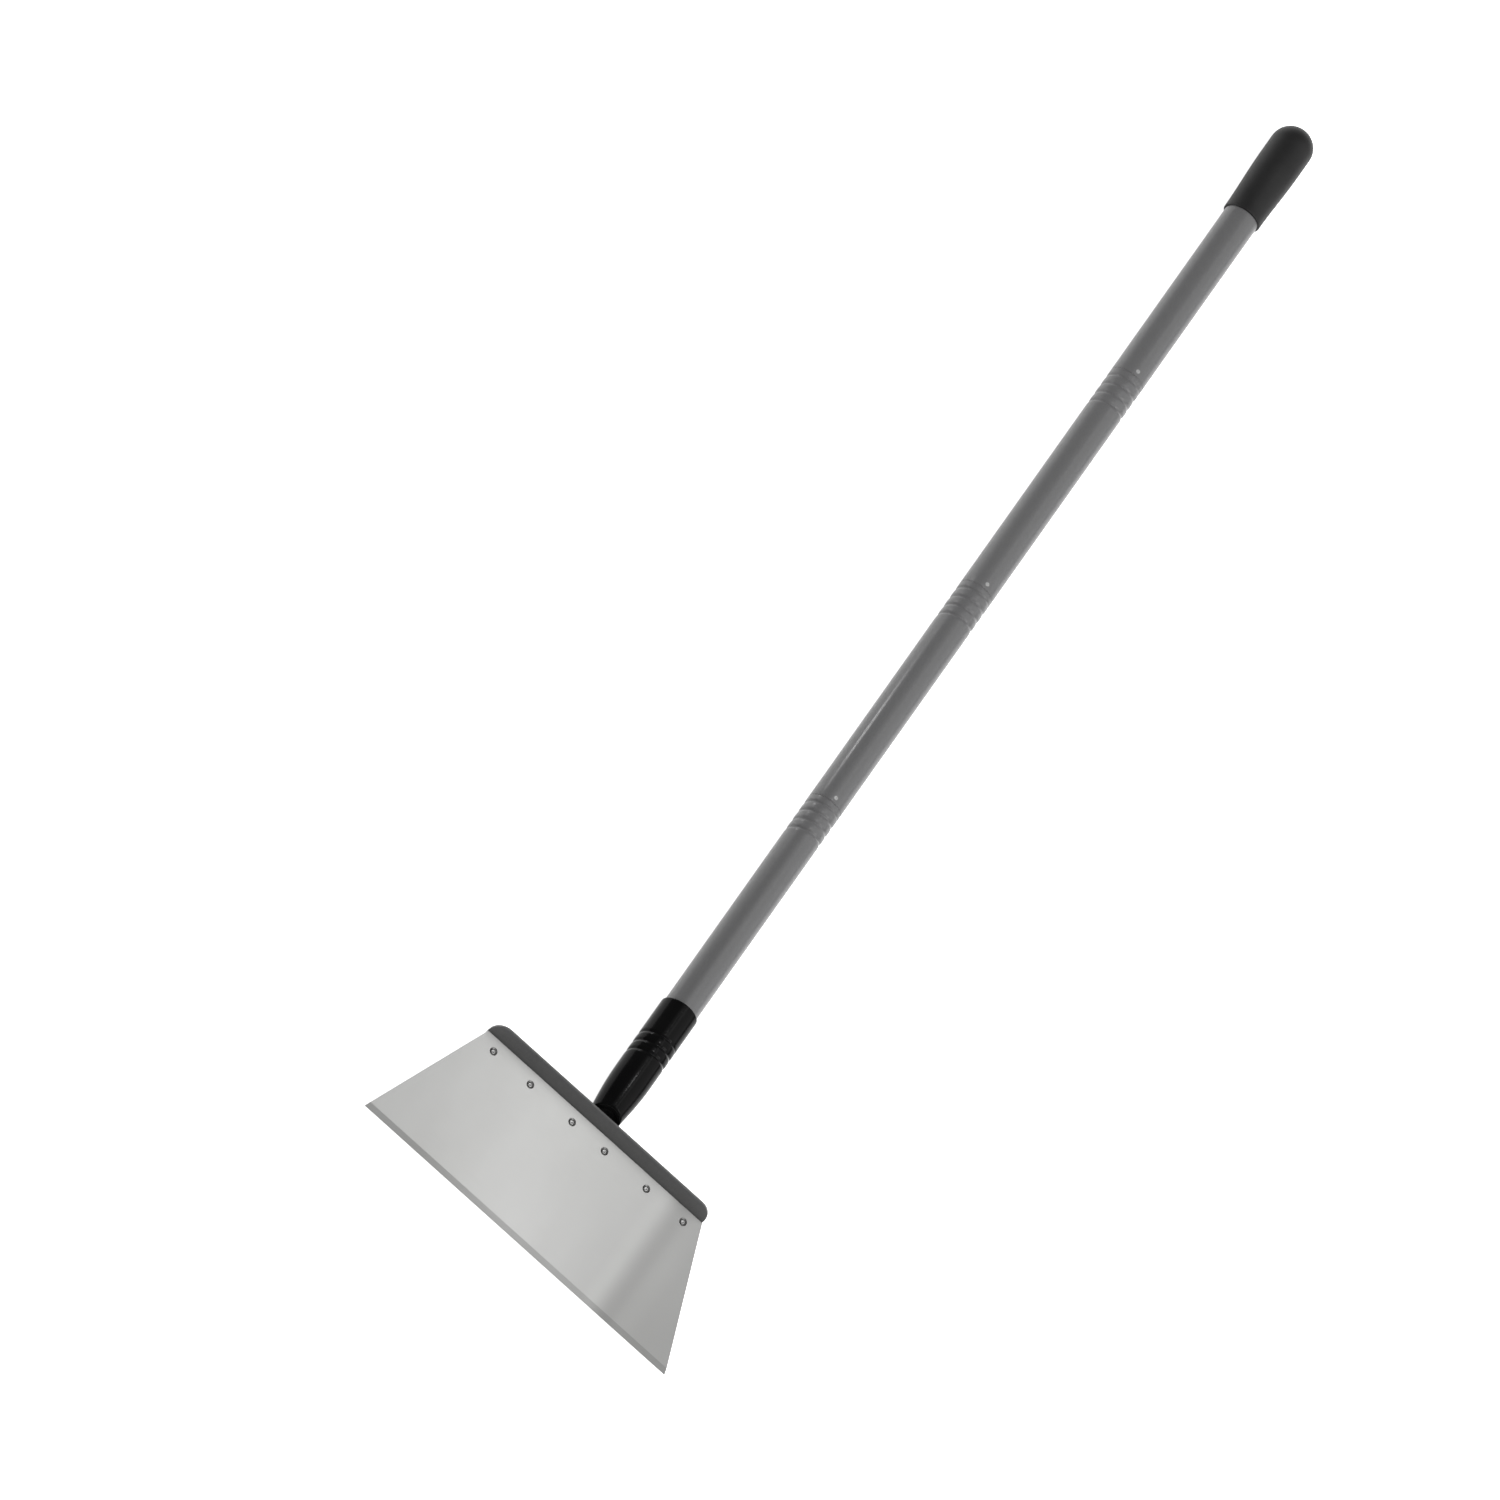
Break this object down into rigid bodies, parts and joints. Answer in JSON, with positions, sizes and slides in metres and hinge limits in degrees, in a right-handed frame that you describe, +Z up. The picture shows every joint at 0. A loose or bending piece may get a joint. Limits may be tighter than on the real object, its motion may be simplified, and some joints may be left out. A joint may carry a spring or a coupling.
{
  "type": "algae scraper",
  "caption": "Long-handled scraper with a wide steel blade, a raised flange, a black socket and a pole in screwed sections.",
  "frame": {"origin": "centre of the bounding box's underside, the surface that the scraper lies on", "axes": "+X along the pole from the cutting edge towards the cap, +Y across the blade, +Z up out of the blade's front face"},
  "size_m": [1.137, 0.305, 0.034],
  "materials": {
    "blade_steel": "brushed",
    "bracket_paint": "satin",
    "rivet_steel": "satin",
    "socket_black": "gloss",
    "pole_paint": "satin",
    "plug_black": "matte",
    "cap_rubber": "matte"
  },
  "bodies": {
    "head": {"blade": "blade_steel", "head_bracket": "bracket_paint", "socket_plate": "bracket_paint", "outer_rivets": "rivet_steel", "centre_rivets": "rivet_steel", "socket": "socket_black"},
    "washer_1": {"joint_washer_1": "plug_black"},
    "section_1": {"pole_section_1": "pole_paint", "thread_plug_1": "plug_black", "plug_pin_1": "rivet_steel"},
    "washer_2": {"joint_washer_2": "plug_black"},
    "section_2": {"pole_section_2": "pole_paint", "thread_plug_2": "plug_black", "plug_pin_2": "rivet_steel"},
    "washer_3": {"joint_washer_3": "plug_black"},
    "section_3": {"pole_section_3": "pole_paint", "thread_plug_3": "plug_black", "plug_pin_3": "rivet_steel"},
    "washer_4": {"joint_washer_4": "plug_black"},
    "section_4": {"pole_section_4": "pole_paint", "thread_plug_4": "plug_black", "plug_pin_4": "rivet_steel", "end_cap": "cap_rubber"}
  },
  "joints": [
    {"name": "section_1_turn", "type": "hinge", "parent": "head", "child": "washer_1", "pos_m": [-0.3475, 0, 0.017], "axis": [1, 0, 0], "range_deg": [0, 1440]},
    {"name": "section_1_travel", "type": "slide", "parent": "washer_1", "child": "section_1", "axis": [1, 0, 0], "range_m": [0, 0.035]},
    {"name": "section_2_turn", "type": "hinge", "parent": "section_1", "child": "washer_2", "pos_m": [-0.128, 0, 0.017], "axis": [1, 0, 0], "range_deg": [0, 1440]},
    {"name": "section_2_travel", "type": "slide", "parent": "washer_2", "child": "section_2", "axis": [1, 0, 0], "range_m": [0, 0.035]},
    {"name": "section_3_turn", "type": "hinge", "parent": "section_2", "child": "washer_3", "pos_m": [0.0915, 0, 0.017], "axis": [1, 0, 0], "range_deg": [0, 1440]},
    {"name": "section_3_travel", "type": "slide", "parent": "washer_3", "child": "section_3", "axis": [1, 0, 0], "range_m": [0, 0.035]},
    {"name": "section_4_turn", "type": "hinge", "parent": "section_3", "child": "washer_4", "pos_m": [0.311, 0, 0.017], "axis": [1, 0, 0], "range_deg": [0, 1440]},
    {"name": "section_4_travel", "type": "slide", "parent": "washer_4", "child": "section_4", "axis": [1, 0, 0], "range_m": [0, 0.035]}
  ],
  "couplings": [
    {"joint": "section_1_travel", "follows": "section_1_turn", "m_per_rad": 0.0013846},
    {"joint": "section_2_travel", "follows": "section_2_turn", "m_per_rad": 0.0013846},
    {"joint": "section_3_travel", "follows": "section_3_turn", "m_per_rad": 0.0013846},
    {"joint": "section_4_travel", "follows": "section_4_turn", "m_per_rad": 0.0013846}
  ]
}
